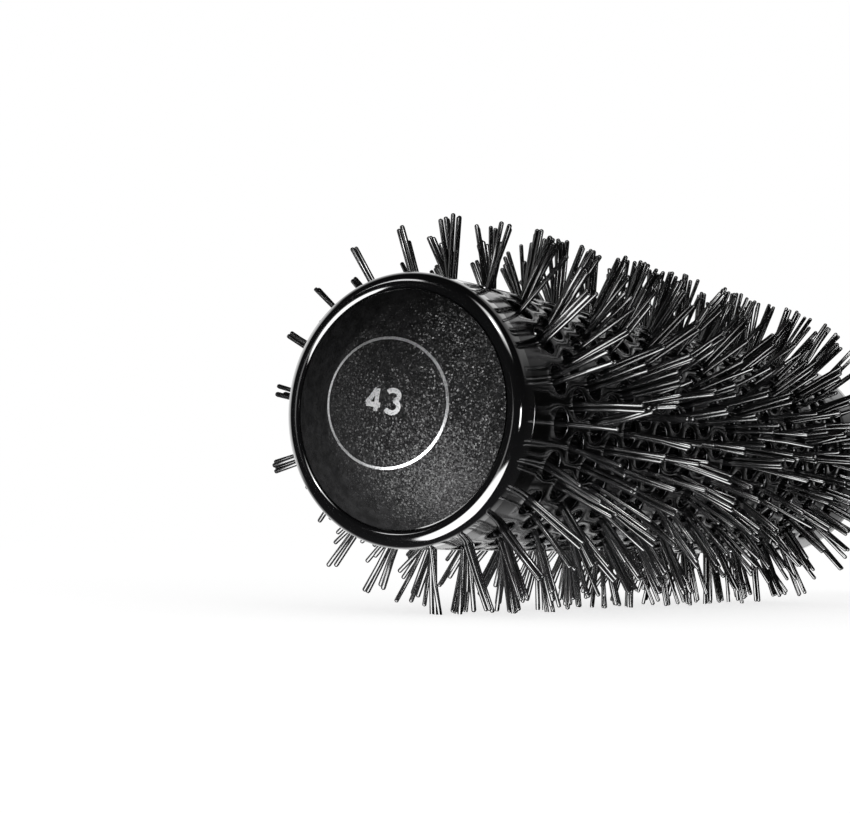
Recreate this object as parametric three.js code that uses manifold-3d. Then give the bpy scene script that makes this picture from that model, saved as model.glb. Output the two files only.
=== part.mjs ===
// Round thermal hair brush, in millimetres, +Z up.
// The brush lies along Y with its tip towards -Y. Everything is first laid out along a station
// axis whose zero is the front plane of the tip cap's rim, and the whole brush is then moved so
// that the flat end of the handle is at the origin.

import * as THREE from 'three';
import { mergeVertices } from 'three/addons/utils/BufferGeometryUtils.js';
import Module from 'manifold-3d';

const wasm = await Module();
wasm.setup();

const DEG = Math.PI / 180;

// Clearances
const SEAT_GAP = 0.3; // between two seated faces
const SLIDE_GAP = 0.3; // radial, round a spigot or the stem
const CUT_OVERSHOOT = 1; // a cutter ends this far outside the face it goes through

// Barrel: a perforated aluminium tube
const BARREL_DIAMETER = 43;
const BARREL_WALL = 1;
const HOLE_DIAMETER = 4.9;
const HOLES_PER_RING = 20;
const RING_COUNT = 22;
const RING_PITCH = 6.2;
const FIRST_HOLE_ANGLE = -4.5 * DEG;
const RING_TO_FITTING = 3.5; // outer rings of holes to the cap's skirt and to the plug

// Tip cap: one moulding with a domed face, a groove, a round rim, a skirt and a stem socket
const CAP_FLANGE_LENGTH = 3.6;
const CAP_RIM_RADIUS = 1.6;
const CAP_GROOVE_WIDTH = 0.4;
const CAP_GROOVE_DEPTH = 0.7;
const CAP_FACE_RECESS = 0.6; // face border behind the rim's front plane
const CAP_DOME_HEIGHT = 6;
const CAP_WALL = 1.8;
const CAP_SKIRT_LENGTH = 5.8;
const CAP_SKIRT_WALL = 1.4;
const CAP_SOCKET_WALL = 2.4;
const CAP_SOCKET_DEPTH = 7;

// Stem: two wires twisted round each other
const WIRE_DIAMETER = 2.6;
const WIRE_GAP = 0.6; // between the two wires on the axis
const WIRE_TWIST_PITCH = 28;
const WIRE_GRIP = 7; // length of stem held in the rear plug

// Bristles: nylon strands on a bound core round the stem. A strand leaves by the hole nearest
// to its root, so some holes of a ring stay free.
const BRISTLE_SECTIONS = 4;
const STRANDS_PER_RING = 14;
const CORE_WALL = 1.4;
const STRAND_REACH = 10.5; // longest strand past the barrel's surface
const STRAND_LENGTH_SPREAD = 1.6; // the shortest strand ends this far inside the longest
const STRAND_ROOT_HEIGHT = 1.3;
const STRAND_TIP_WIDTH = 0.75;
const STRAND_LEAN = 1.3; // largest sideways throw of a tip, along and round the brush

// Rear plug: closes the barrel, holds the stem and carries the handle
const PLUG_SPIGOT_LENGTH = 9;
const PLUG_SPIGOT_WALL = 2.4;
const PLUG_WEB = 2.2;
const PLUG_STEM_WALL = 2.4;
const PLUG_TENON_DIAMETER = 15;
const PLUG_TENON_SETBACK = 4.5; // tenon's end to the rear of the handle's shoulder

// Collar: the ring between the barrel and the handle's shoulder
const COLLAR_LENGTH = 3;
const COLLAR_WALL = 4;
const COLLAR_CHAMFER = 0.6;

// Fixing pins: hold the barrel on the rear plug
const PIN_COUNT = 3;
const PIN_DIAMETER = 2.4;
const PIN_LENGTH = 2.4;
const PIN_CLEARANCE = 0.2;
const PIN_SETBACK = 4.5; // pin centre to the barrel's rear edge

// Handle: a hard core with a shoulder, a soft sleeve over its shaft and an end cap
const HANDLE_LENGTH = 128; // collar to the flat end of the end cap
const SHOULDER_LENGTH = 15;
const NECK_DIAMETER = 23;
const SHAFT_DIAMETER = 17;
const SHAFT_BORE_DIAMETER = 11;
const TENON_SOCKET_WALL = 2.2;
const GRIP_WAIST_DIAMETER = 22;
const GRIP_SWELL_DIAMETER = 27;
const GRIP_SWELL_STATION = 0.62; // share of the grip's length from its front end
const GRIP_END_DIAMETER = 24;
const END_CAP_HEAD = 5;
const END_CAP_CHAMFER = 2;
const END_CAP_SPIGOT_LENGTH = 10;

// Facets
const BARREL_SEGMENTS = 28; // cap and collar
const PLUG_SEGMENTS = 24;
const HANDLE_SEGMENTS = 18;
const DOME_STEPS = 3;
const RIM_STEPS = 3;
const SHOULDER_STEPS = 4;
const GRIP_STEPS = 5;
const PIN_SIDES = 8;
const WIRE_SIDES = 4;
const WIRE_STEPS_PER_TURN = 6;

// Radii worked out from the sizes above
const barrelOuter = BARREL_DIAMETER / 2;
const barrelInner = barrelOuter - BARREL_WALL;
const spigotOuter = barrelInner - SLIDE_GAP;
const wireOrbit = (WIRE_DIAMETER + WIRE_GAP) / 2;
const stemOuter = wireOrbit + WIRE_DIAMETER / 2;
const stemBore = stemOuter + SLIDE_GAP;
const coreOuter = stemBore + CORE_WALL;
const collarInner = barrelOuter - COLLAR_WALL;
const tenonOuter = PLUG_TENON_DIAMETER / 2;
const tenonBore = tenonOuter + SLIDE_GAP;
const shaftOuter = SHAFT_DIAMETER / 2;
const shaftBore = SHAFT_BORE_DIAMETER / 2;

// Stations along the brush, from the front plane of the rim
const barrelFront = CAP_FLANGE_LENGTH + SEAT_GAP;
const skirtEnd = CAP_FLANGE_LENGTH + CAP_SKIRT_LENGTH;
const socketFloor = skirtEnd - CAP_SOCKET_DEPTH;
const firstRing = skirtEnd + RING_TO_FITTING;
const lastRing = firstRing + (RING_COUNT - 1) * RING_PITCH;
const plugFront = lastRing + RING_TO_FITTING;
const stemRear = plugFront + WIRE_GRIP;
const barrelRear = plugFront + PLUG_SPIGOT_LENGTH;
const collarFront = barrelRear + SEAT_GAP;
const collarRear = collarFront + COLLAR_LENGTH;
const shoulderFront = collarRear + SEAT_GAP;
const shoulderRear = shoulderFront + SHOULDER_LENGTH;
const gripFront = shoulderRear + SEAT_GAP;
const handleEnd = collarRear + HANDLE_LENGTH;
const endCapFront = handleEnd - END_CAP_HEAD;
const gripRear = endCapFront - SEAT_GAP;
const tenonEnd = shoulderRear - PLUG_TENON_SETBACK;

const ringStation = (ring) => firstRing + ring * RING_PITCH;
// Each ring of holes, and of strands, is turned half a step against the one before it.
const turned = (ring, place, places) => FIRST_HOLE_ANGLE + ((place + ring / 2) * 2 * Math.PI) / places;
const holeAngle = (ring, column) => turned(ring, column, HOLES_PER_RING);
const rootAngle = (ring, strand) => turned(ring, strand, STRANDS_PER_RING);

// Mesh helpers

function weld(geometry) {
  geometry.deleteAttribute('normal');
  geometry.deleteAttribute('uv');
  const merged = mergeVertices(geometry, 1e-4);
  const corners = merged.index.array;
  const kept = [];
  for (let i = 0; i < corners.length; i += 3) {
    const [a, b, c] = corners.slice(i, i + 3);
    if (a !== b && b !== c && c !== a) kept.push(a, b, c);
  }
  merged.setIndex(kept);
  return faceOutwards(merged);
}

function faceOutwards(geometry) {
  const position = geometry.attributes.position;
  const corners = Array.from(geometry.index.array);
  const point = (i) => new THREE.Vector3().fromBufferAttribute(position, i);
  let volume = 0;
  for (let i = 0; i < corners.length; i += 3) {
    volume += point(corners[i]).dot(point(corners[i + 1]).cross(point(corners[i + 2])));
  }
  if (volume < 0) corners.reverse();
  geometry.setIndex(corners);
  geometry.computeVertexNormals();
  return geometry;
}

// Collects points and faces of a surface built by hand.
class Surface {
  constructor() {
    this.points = [];
    this.faces = [];
  }

  point(radius, angle, station) {
    this.points.push(radius * Math.cos(angle), station, radius * Math.sin(angle));
    return this.points.length / 3 - 1;
  }

  triangle(a, b, c) {
    this.faces.push(a, b, c);
  }

  quad(a, b, c, d) {
    this.triangle(a, b, c);
    this.triangle(a, c, d);
  }

  // Joins two closed rows of points. The second row may start some points further on.
  stitch(first, second, shift = 0) {
    const count = first.length;
    for (let i = 0; i < count; i += 1) {
      const j = (i + 1) % count;
      this.quad(first[i], first[j], second[(j + shift) % count], second[(i + shift) % count]);
    }
  }

  geometry() {
    const geometry = new THREE.BufferGeometry();
    geometry.setAttribute('position', new THREE.Float32BufferAttribute(this.points, 3));
    geometry.setIndex(this.faces);
    return faceOutwards(geometry);
  }
}

// A revolve round the brush's axis. The outline lists [radius, station] pairs. It runs from
// axis to axis, or is closed on itself when it encloses a bore.
function revolve(outline, segments) {
  const profile = outline.map(([radius, station]) => new THREE.Vector2(radius, station));
  if (outline[0][0] > 0) profile.push(profile[0].clone());
  return weld(new THREE.LatheGeometry(profile, segments));
}

function toSolid(geometry) {
  const vertProperties = new Float32Array(geometry.attributes.position.array);
  const triVerts = new Uint32Array(geometry.index.array);
  return new wasm.Manifold(new wasm.Mesh({ numProp: 3, vertProperties, triVerts }));
}

function subtract(geometry, cutters) {
  let solid = toSolid(geometry);
  for (const cutter of cutters) solid = solid.subtract(toSolid(cutter));
  const { vertProperties, triVerts } = solid.getMesh();
  const result = new THREE.BufferGeometry();
  result.setAttribute('position', new THREE.BufferAttribute(vertProperties, 3));
  result.setIndex(Array.from(triVerts));
  return faceOutwards(result);
}

// Tip cap

// Station of the cap's domed face at a radius: an arc through the apex and the face border.
const faceBorder = barrelOuter - 2 * CAP_RIM_RADIUS + CAP_GROOVE_WIDTH / 2;
const domeRadius = (faceBorder ** 2 + CAP_DOME_HEIGHT ** 2) / (2 * CAP_DOME_HEIGHT);
const domeCentre = CAP_FACE_RECESS - CAP_DOME_HEIGHT + domeRadius;
const domeStation = (radius) => domeCentre - Math.sqrt(domeRadius ** 2 - radius ** 2);

function capGeometry() {
  const outline = [];
  for (let i = 0; i <= DOME_STEPS; i += 1) {
    const radius = (faceBorder * i) / DOME_STEPS;
    outline.push([radius, domeStation(radius)]);
  }
  const grooveFloor = CAP_FACE_RECESS + CAP_GROOVE_DEPTH;
  const grooveOuter = faceBorder + CAP_GROOVE_WIDTH;
  const rimCentre = barrelOuter - CAP_RIM_RADIUS;
  const rimStart = Math.acos((grooveOuter - rimCentre) / CAP_RIM_RADIUS);
  outline.push([faceBorder, grooveFloor], [grooveOuter, grooveFloor]);
  for (let i = 0; i <= RIM_STEPS; i += 1) {
    const turn = rimStart * (1 - i / RIM_STEPS);
    const radius = rimCentre + CAP_RIM_RADIUS * Math.cos(turn);
    outline.push([radius, CAP_RIM_RADIUS * (1 - Math.sin(turn))]);
  }
  const skirtInner = spigotOuter - CAP_SKIRT_WALL;
  const socketOuter = stemBore + CAP_SOCKET_WALL;
  outline.push([barrelOuter, CAP_FLANGE_LENGTH], [spigotOuter, CAP_FLANGE_LENGTH]);
  outline.push([spigotOuter, skirtEnd], [skirtInner, skirtEnd]);
  outline.push([skirtInner, CAP_FACE_RECESS + CAP_WALL]);
  outline.push([socketOuter, domeStation(socketOuter) + CAP_WALL]);
  outline.push([socketOuter, skirtEnd], [stemBore, skirtEnd], [stemBore, socketFloor]);
  outline.push([0, socketFloor]);
  return revolve(outline, BARREL_SEGMENTS);
}

// Barrel

// The six corners of a hole lie on its edge, with the flats towards the six nearest holes.
const HOLE_CORNERS = 6;
const CORNERS_TO_TIP = [3, 4, 5];
const CORNERS_TO_HANDLE = [2, 1, 0];
const cornerTurn = (corner) => (corner + 0.5) * ((2 * Math.PI) / HOLE_CORNERS);

function barrelSkin(surface, radius) {
  const holes = [];
  for (let ring = 0; ring < RING_COUNT; ring += 1) {
    const row = [];
    for (let column = 0; column < HOLES_PER_RING; column += 1) {
      const hole = [];
      for (let corner = 0; corner < HOLE_CORNERS; corner += 1) {
        const across = (HOLE_DIAMETER / 2) * Math.cos(cornerTurn(corner));
        const along = (HOLE_DIAMETER / 2) * Math.sin(cornerTurn(corner));
        const angle = holeAngle(ring, column) + Math.asin(across / radius);
        hole.push(surface.point(radius, angle, ringStation(ring) + along));
      }
      row.push(hole);
    }
    holes.push(row);
  }
  return holes;
}

// The web of one skin: strips between neighbouring holes, and a triangle where three meet.
function barrelWeb(surface, holes, skin) {
  const triangle = (a, b, c) => {
    if (skin === 'outer') surface.triangle(a, b, c);
    else surface.triangle(c, b, a);
  };
  const quad = (a, b, c, d) => {
    triangle(a, b, c);
    triangle(a, c, d);
  };
  const next = (column) => (column + 1) % HOLES_PER_RING;
  const previous = (column) => (column + HOLES_PER_RING - 1) % HOLES_PER_RING;
  holes.forEach((row, ring) => {
    row.forEach((hole, column) => {
      const beside = row[next(column)];
      quad(hole[0], hole[5], beside[3], beside[2]);
      if (ring === RING_COUNT - 1) return;
      const right = holes[ring + 1][column];
      const left = holes[ring + 1][previous(column)];
      quad(hole[1], hole[0], right[4], right[3]);
      quad(hole[2], hole[1], left[5], left[4]);
      triangle(hole[1], right[3], left[5]);
      triangle(hole[0], beside[2], right[4]);
    });
  });
}

function barrelGeometry() {
  const surface = new Surface();
  const rims = {};
  const skins = {};
  for (const [skin, radius] of [['outer', barrelOuter], ['inner', barrelInner]]) {
    const holes = barrelSkin(surface, radius);
    barrelWeb(surface, holes, skin);
    skins[skin] = holes;
    const edge = (row, corners, station) => {
      const near = row.flatMap((hole) => corners.map((corner) => hole[corner]));
      const far = near.map((index) => {
        const [x, , z] = surface.points.slice(3 * index, 3 * index + 3);
        return surface.point(radius, Math.atan2(z, x), station);
      });
      return { near, far };
    };
    rims[skin] = {
      front: edge(holes[0], CORNERS_TO_TIP, barrelFront),
      rear: edge(holes[RING_COUNT - 1], CORNERS_TO_HANDLE, barrelRear),
    };
  }
  surface.stitch(rims.outer.front.far, rims.outer.front.near);
  surface.stitch(rims.inner.front.far, rims.outer.front.far);
  surface.stitch(rims.inner.front.near, rims.inner.front.far);
  surface.stitch(rims.outer.rear.near, rims.outer.rear.far);
  surface.stitch(rims.outer.rear.far, rims.inner.rear.far);
  surface.stitch(rims.inner.rear.far, rims.inner.rear.near);
  skins.outer.forEach((row, ring) => {
    row.forEach((hole, column) => surface.stitch(hole, skins.inner[ring][column]));
  });
  return subtract(surface.geometry(), pinPlaces.map((place) => pinCutter(place)));
}

// Fixing pins and the holes that they sit in

const pinPlaces = [...Array(PIN_COUNT).keys()].map((pin) => (pin * 2 * Math.PI) / PIN_COUNT);
const pinFoot = barrelOuter - PIN_LENGTH;

function radialRod(diameter, from, to, angle) {
  const rod = new THREE.CylinderGeometry(diameter / 2, diameter / 2, to - from, PIN_SIDES);
  rod.translate(0, (from + to) / 2, 0);
  rod.rotateX(Math.PI / 2);
  rod.rotateY(angle);
  rod.translate(0, barrelRear - PIN_SETBACK, 0);
  return weld(rod);
}

function pinCutter(angle) {
  const diameter = PIN_DIAMETER + 2 * PIN_CLEARANCE;
  return radialRod(diameter, pinFoot - SEAT_GAP, barrelOuter + CUT_OVERSHOOT, angle);
}

const pinGeometry = (angle) => radialRod(PIN_DIAMETER, pinFoot, barrelOuter, angle);

// Stem

function wireGeometry(startAngle) {
  const surface = new Surface();
  const front = socketFloor + SEAT_GAP;
  const stepLength = WIRE_TWIST_PITCH / WIRE_STEPS_PER_TURN;
  // The pitch gives way a little, so that the wire has a whole number of steps.
  const steps = Math.round((stemRear - front) / stepLength);
  const rings = [];
  for (let step = 0; step <= steps; step += 1) {
    const angle = startAngle + (step / WIRE_STEPS_PER_TURN) * 2 * Math.PI;
    const station = front + (step / steps) * (stemRear - front);
    const ring = [];
    for (let side = 0; side < WIRE_SIDES; side += 1) {
      const turn = angle + (side * 2 * Math.PI) / WIRE_SIDES;
      const x = wireOrbit * Math.cos(angle) + (WIRE_DIAMETER / 2) * Math.cos(turn);
      const z = wireOrbit * Math.sin(angle) + (WIRE_DIAMETER / 2) * Math.sin(turn);
      ring.push(surface.point(Math.hypot(x, z), Math.atan2(z, x), station));
    }
    rings.push(ring);
  }
  for (let step = 0; step < steps; step += 1) surface.stitch(rings[step], rings[step + 1]);
  const first = rings[0];
  const last = rings[steps];
  for (let side = 1; side < WIRE_SIDES - 1; side += 1) {
    surface.triangle(first[0], first[side + 1], first[side]);
    surface.triangle(last[0], last[side], last[side + 1]);
  }
  return surface.geometry();
}

// Bristles

// A repeatable number from 0 to 1 for each strand, so that the strands look unevenly cut.
function scatter(ring, strand, salt) {
  const wave = Math.sin(ring * 12.9898 + strand * 78.233 + salt * 37.719) * 43758.5453;
  return wave - Math.floor(wave);
}

// One section of the core with its strands. Each strand grows from a triangle of the core,
// whose middle is at the ring's station: a third of its height is towards the tip.
function bristleGeometry(firstRow, rowCount) {
  const surface = new Surface();
  const step = (2 * Math.PI) / STRANDS_PER_RING;
  const strands = [...Array(STRANDS_PER_RING).keys()];
  const row = (radius, firstAngle, station) =>
    strands.map((strand) => surface.point(radius, firstAngle + strand * step, station));
  const lastRow = firstRow + rowCount - 1;
  const between = (ring) => ringStation(ring) + RING_PITCH / 2;
  const nextToCap = firstRow === 0;
  const nextToPlug = lastRow === RING_COUNT - 1;
  const frontStation = nextToCap ? skirtEnd + SEAT_GAP : between(firstRow - 1) + SEAT_GAP / 2;
  const rearStation = nextToPlug ? plugFront - SEAT_GAP : between(lastRow) - SEAT_GAP / 2;
  const frontAngle = rootAngle(firstRow, 0) - step / 2;
  const rearAngle = rootAngle(lastRow, 0);
  const frontEdge = row(coreOuter, frontAngle, frontStation);
  let below = frontEdge;
  for (let ring = firstRow; ring <= lastRow; ring += 1) {
    const angle = rootAngle(ring, 0);
    const station = ringStation(ring);
    const feet = row(coreOuter, angle - step / 2, station - STRAND_ROOT_HEIGHT / 3);
    const heads = row(coreOuter, angle, station + (2 * STRAND_ROOT_HEIGHT) / 3);
    surface.stitch(below, feet);
    for (const strand of strands) {
      const beside = (strand + 1) % STRANDS_PER_RING;
      surface.triangle(feet[beside], heads[beside], heads[strand]);
      addStrand(surface, [feet[strand], feet[beside], heads[strand]], ring, strand);
    }
    below = heads;
  }
  const rearEdge = row(coreOuter, rearAngle, rearStation);
  surface.stitch(below, rearEdge);
  const frontBore = row(stemBore, frontAngle, frontStation);
  const rearBore = row(stemBore, rearAngle, rearStation);
  const turnedPlaces = Math.round((rearAngle - frontAngle) / step);
  surface.stitch(frontBore, frontEdge);
  surface.stitch(rearEdge, rearBore);
  surface.stitch(rearBore, frontBore, turnedPlaces);
  return surface.geometry();
}

function addStrand(surface, root, ring, strand) {
  const radius = barrelOuter + STRAND_REACH - STRAND_LENGTH_SPREAD * scatter(ring, strand, 1);
  const leanRound = STRAND_LEAN * (2 * scatter(ring, strand, 2) - 1);
  const leanAlong = STRAND_LEAN * (2 * scatter(ring, strand, 3) - 1);
  const column = Math.round((strand + ring / 2) * (HOLES_PER_RING / STRANDS_PER_RING) - ring / 2);
  const angle = holeAngle(ring, column) + leanRound / radius;
  const station = ringStation(ring) + leanAlong;
  const halfWidth = STRAND_TIP_WIDTH / 2 / radius;
  const tip = [
    surface.point(radius, angle - halfWidth, station - STRAND_TIP_WIDTH / 3),
    surface.point(radius, angle + halfWidth, station - STRAND_TIP_WIDTH / 3),
    surface.point(radius, angle, station + (2 * STRAND_TIP_WIDTH) / 3),
  ];
  surface.stitch(root, tip);
  surface.triangle(tip[0], tip[1], tip[2]);
}

// Rear plug

function plugGeometry() {
  const spigotInner = spigotOuter - PLUG_SPIGOT_WALL;
  const hubOuter = stemBore + PLUG_STEM_WALL;
  const webFront = barrelRear - PLUG_WEB;
  const neck = collarInner - SLIDE_GAP;
  const outline = [
    [0, stemRear + SEAT_GAP],
    [stemBore, stemRear + SEAT_GAP],
    [stemBore, plugFront],
    [hubOuter, plugFront],
    [hubOuter, webFront],
    [spigotInner, webFront],
    [spigotInner, plugFront],
    [spigotOuter, plugFront],
    [spigotOuter, barrelRear],
    [neck, barrelRear],
    [neck, collarRear],
    [tenonOuter, collarRear],
    [tenonOuter, tenonEnd],
    [0, tenonEnd],
  ];
  return subtract(revolve(outline, PLUG_SEGMENTS), pinPlaces.map((place) => pinCutter(place)));
}

// Collar

function collarGeometry() {
  const outline = [
    [collarInner, collarFront],
    [barrelOuter, collarFront],
    [barrelOuter, collarRear - COLLAR_CHAMFER],
    [barrelOuter - COLLAR_CHAMFER, collarRear],
    [collarInner, collarRear],
  ];
  return revolve(outline, BARREL_SEGMENTS);
}

// Handle

function handleCoreGeometry() {
  const neck = NECK_DIAMETER / 2;
  const shoulder = barrelOuter - COLLAR_CHAMFER;
  const socketEnd = tenonEnd + SEAT_GAP;
  const outline = [
    [0, socketEnd],
    [tenonBore, socketEnd],
    [tenonBore, shoulderFront],
    [shoulder, shoulderFront],
  ];
  // The shoulder is a half wave from the collar down to the neck.
  for (let i = 1; i <= SHOULDER_STEPS; i += 1) {
    const fall = (1 - Math.cos((Math.PI * i) / SHOULDER_STEPS)) / 2;
    const station = shoulderFront + (SHOULDER_LENGTH * i) / SHOULDER_STEPS;
    outline.push([shoulder - fall * (shoulder - neck), station]);
  }
  outline.push([shaftOuter, shoulderRear], [shaftOuter, gripRear], [shaftBore, gripRear]);
  outline.push([shaftBore, socketEnd + TENON_SOCKET_WALL], [0, socketEnd + TENON_SOCKET_WALL]);
  return revolve(outline, HANDLE_SEGMENTS);
}

function gripGeometry() {
  const bore = shaftOuter + SLIDE_GAP;
  const swell = gripFront + GRIP_SWELL_STATION * (gripRear - gripFront);
  const side = new THREE.SplineCurve([
    new THREE.Vector2(GRIP_WAIST_DIAMETER / 2, gripFront),
    new THREE.Vector2(GRIP_SWELL_DIAMETER / 2, swell),
    new THREE.Vector2(GRIP_END_DIAMETER / 2, gripRear),
  ]);
  const outline = side.getPoints(GRIP_STEPS).map((point) => [point.x, point.y]);
  outline.push([bore, gripRear], [bore, gripFront]);
  return revolve(outline, HANDLE_SEGMENTS);
}

function handleEndCapGeometry() {
  const head = GRIP_END_DIAMETER / 2;
  const spigot = shaftBore - SLIDE_GAP;
  const outline = [
    [0, endCapFront - END_CAP_SPIGOT_LENGTH],
    [spigot, endCapFront - END_CAP_SPIGOT_LENGTH],
    [spigot, endCapFront],
    [head, endCapFront],
    [head, handleEnd - END_CAP_CHAMFER],
    [head - END_CAP_CHAMFER, handleEnd],
    [0, handleEnd],
  ];
  return revolve(outline, HANDLE_SEGMENTS);
}

// Assembly

const blackPlastic = { color: 0x0c0c0d, roughness: 0.32, metalness: 0 };
const satinPlastic = { color: 0x141415, roughness: 0.5, metalness: 0 };
const coatedAluminium = { color: 0x232326, roughness: 0.16, metalness: 0.9 };
const nylon = { color: 0x0e0e0f, roughness: 0.28, metalness: 0 };
const steelWire = { color: 0x9a9a9a, roughness: 0.35, metalness: 1 };
const pinMetal = { color: 0x4a4a4d, roughness: 0.3, metalness: 1 };
const softTouch = { color: 0x171718, roughness: 0.75, metalness: 0 };

const brush = new THREE.Group();

function add(name, geometry, look) {
  const mesh = new THREE.Mesh(geometry, new THREE.MeshStandardMaterial(look));
  mesh.name = name;
  brush.add(mesh);
}

add('tip_cap', capGeometry(), blackPlastic);
add('barrel_tube', barrelGeometry(), coatedAluminium);
add('stem_wire_a', wireGeometry(0), steelWire);
add('stem_wire_b', wireGeometry(Math.PI), steelWire);

// The rings are shared out among the sections as evenly as they divide.
const sectionStart = (section) => Math.ceil((RING_COUNT * section) / BRISTLE_SECTIONS);
for (let section = 0; section < BRISTLE_SECTIONS; section += 1) {
  const firstRow = sectionStart(section);
  const rowCount = sectionStart(section + 1) - firstRow;
  add(`bristle_section_${section + 1}`, bristleGeometry(firstRow, rowCount), nylon);
}

add('rear_plug', plugGeometry(), satinPlastic);
pinPlaces.forEach((angle, pin) => add(`fixing_pin_${pin + 1}`, pinGeometry(angle), pinMetal));
add('rear_collar', collarGeometry(), blackPlastic);
add('handle_core', handleCoreGeometry(), satinPlastic);
add('handle_grip', gripGeometry(), softTouch);
add('handle_end_cap', handleEndCapGeometry(), blackPlastic);

brush.position.y = -handleEnd;

export default brush;
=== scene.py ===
"""Looks of the round thermal hair brush. Everything is in metres, in the CAD model's frame.

The brush lies along +Y with its tip cap towards -Y. Places along it are stations in
millimetres from the front plane of the cap's rim, and radii are in millimetres too."""

import math
import random

import bpy
from mathutils import Matrix, Vector


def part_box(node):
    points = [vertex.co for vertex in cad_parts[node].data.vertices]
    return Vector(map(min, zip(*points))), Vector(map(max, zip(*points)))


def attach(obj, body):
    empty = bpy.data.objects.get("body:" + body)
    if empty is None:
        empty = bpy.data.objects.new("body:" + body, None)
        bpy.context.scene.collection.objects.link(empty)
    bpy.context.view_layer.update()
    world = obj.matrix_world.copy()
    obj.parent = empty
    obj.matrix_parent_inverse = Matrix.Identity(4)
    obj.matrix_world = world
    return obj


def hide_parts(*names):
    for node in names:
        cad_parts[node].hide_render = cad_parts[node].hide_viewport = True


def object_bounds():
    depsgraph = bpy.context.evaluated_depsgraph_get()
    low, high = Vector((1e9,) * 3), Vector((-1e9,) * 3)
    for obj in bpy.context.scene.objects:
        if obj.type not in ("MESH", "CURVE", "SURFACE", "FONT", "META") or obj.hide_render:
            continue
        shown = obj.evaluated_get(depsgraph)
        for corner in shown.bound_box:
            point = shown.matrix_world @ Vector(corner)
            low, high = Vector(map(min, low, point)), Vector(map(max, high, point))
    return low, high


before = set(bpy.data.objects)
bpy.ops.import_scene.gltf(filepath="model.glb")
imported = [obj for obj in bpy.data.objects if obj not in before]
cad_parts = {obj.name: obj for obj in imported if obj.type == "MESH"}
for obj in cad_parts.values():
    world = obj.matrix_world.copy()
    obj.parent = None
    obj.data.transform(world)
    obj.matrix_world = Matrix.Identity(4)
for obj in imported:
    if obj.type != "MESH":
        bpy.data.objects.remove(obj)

cad_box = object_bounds()

MM = 0.001
TURN = 2 * math.pi

# Sizes of the brush, in mm. Slopes and tilts are in degrees.
BARREL_RADIUS = 21.5
BARREL_WALL = 1.0
BARREL_CHAMFER = 0.04
HOLE_RADIUS = 2.45
HOLE_EDGE = 0.14
HOLE_EDGE_BEND = 0.3  # share of the edge at which it bends over
HOLES_PER_RING = 20
RING_COUNT = 22
RING_PITCH = 6.2
FIRST_HOLE_ANGLE = math.radians(-4.5)
CAP_FLANGE = 3.6
SEAT_GAP = 0.3
FIRST_RING = 12.9
BAND_BESIDE_HOLES = 4.2
SIDE_STEPS = 4  # points on each side of the field round a hole

RIM_APEX = 19.83
RIM_RADIUS = 1.6
LIP_WIDTH = 0.52
LIP_SLOPE = 3.5
LIP_EDGE_RADIUS = 0.72
LIP_EDGE_TILT = 68
NOSE_END = 55
GROOVE_DEPTH = 0.5
FACE_BORDER = 18.55
FACE_RECESS = 0.3
DOME_HEIGHT = 5.5
DOME_POWER = 2.7
CAP_WALL = 1.8
SEAM = 0.03  # gap between cap and barrel
SKIRT_END = 9.4
SKIRT_WALL = 1.4
STEM_BORE = 3.2
SOCKET_WALL = 2.4
SOCKET_FLOOR = 2.4

BRISTLE_SECTIONS = 4
CORE_RADIUS = 4.6
ROOT_DEPTH = 0.4
TIP_RADIUS = 32.6
STRAND_RADIUS = 0.4
STRAND_SIDES = 8
STRAND_THICKNESSES = (0.92, 1.08)  # thinnest and thickest, as shares of the radius
STRAND_SPACING = 1.08  # in widths of a filament
ROW_SPACING = 0.87  # of a second row of filaments in a tuft, in spacings
FREE_REACH = 0.9  # how much farther the tufts reach on top, where nothing presses on them

# The tufts: how many filaments they have, the share of the tufts with each number, and how
# uneven they are. The lean is sideways, the fan is a share of the filaments' spacing.
TUFT_COUNTS = (1, 2, 3, 4, 5)
TUFT_SHARES = (0.06, 0.46, 0.34, 0.11, 0.03)
TUFT_LEAN = 0.8
TUFT_SHORTFALL = 1.0
TUFT_FAN = 0.35
STRAND_SHORTFALL = 0.5
STRAND_LEAN = 0.15
STRAY_SHARE = 0.1
STRAY_LEAN = 0.9
STRAY_SHORTFALL = (1.5, 4)
LARGEST_SHORTFALL = 6
# How far a filament has fanned out and leaned over at its root, just inside the barrel,
# halfway out and at its tip
TUFT_COURSE = ((-0.25, 0), (0.1, 0.15), (0.5, 0.95), (1.0, 1.7))
INSIDE_BARREL = 2
# The tufts of the last rings spread towards the handle, each ring more than the one before.
REARWARD_RINGS = 3
REARWARD_STEP = 0.6

WIRE_RADIUS = 1.3
WIRE_ORBIT = 1.6
WIRE_PITCH = 28.3
PIN_RADIUS = 1.2
PIN_LENGTH = 2.4
PIN_EDGE = 0.2
PIN_PROUD = 0.02
COLLAR_BORE = 17.5
COLLAR_CHAMFER = 0.6
SHOULDER_EDGE = 0.2
TENON_BORE = 7.8
TENON_SETBACK = 4.2
TENON_FLOOR = 2.2
NECK_RADIUS = 11.5
SHAFT_RADIUS = 8.5
SHAFT_BORE = 5.5
GRIP_WAIST = 11.0
GRIP_SWELL = 13.5
GRIP_SWELL_SHARE = 0.62
GRIP_END = 12.0
GRIP_EDGE = 0.8
END_CAP_CHAMFER = 2.0

# Where the brush lies in the frame
barrel_lo, barrel_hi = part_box("barrel_tube")
RIM_FRONT = barrel_lo[1] - (CAP_FLANGE + SEAT_GAP) * MM


def place(radius, angle, station):
    across, up = radius * math.cos(angle), radius * math.sin(angle)
    return Vector((across * MM, RIM_FRONT + station * MM, up * MM))


def station_of(y):
    return (y - RIM_FRONT) / MM


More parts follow.
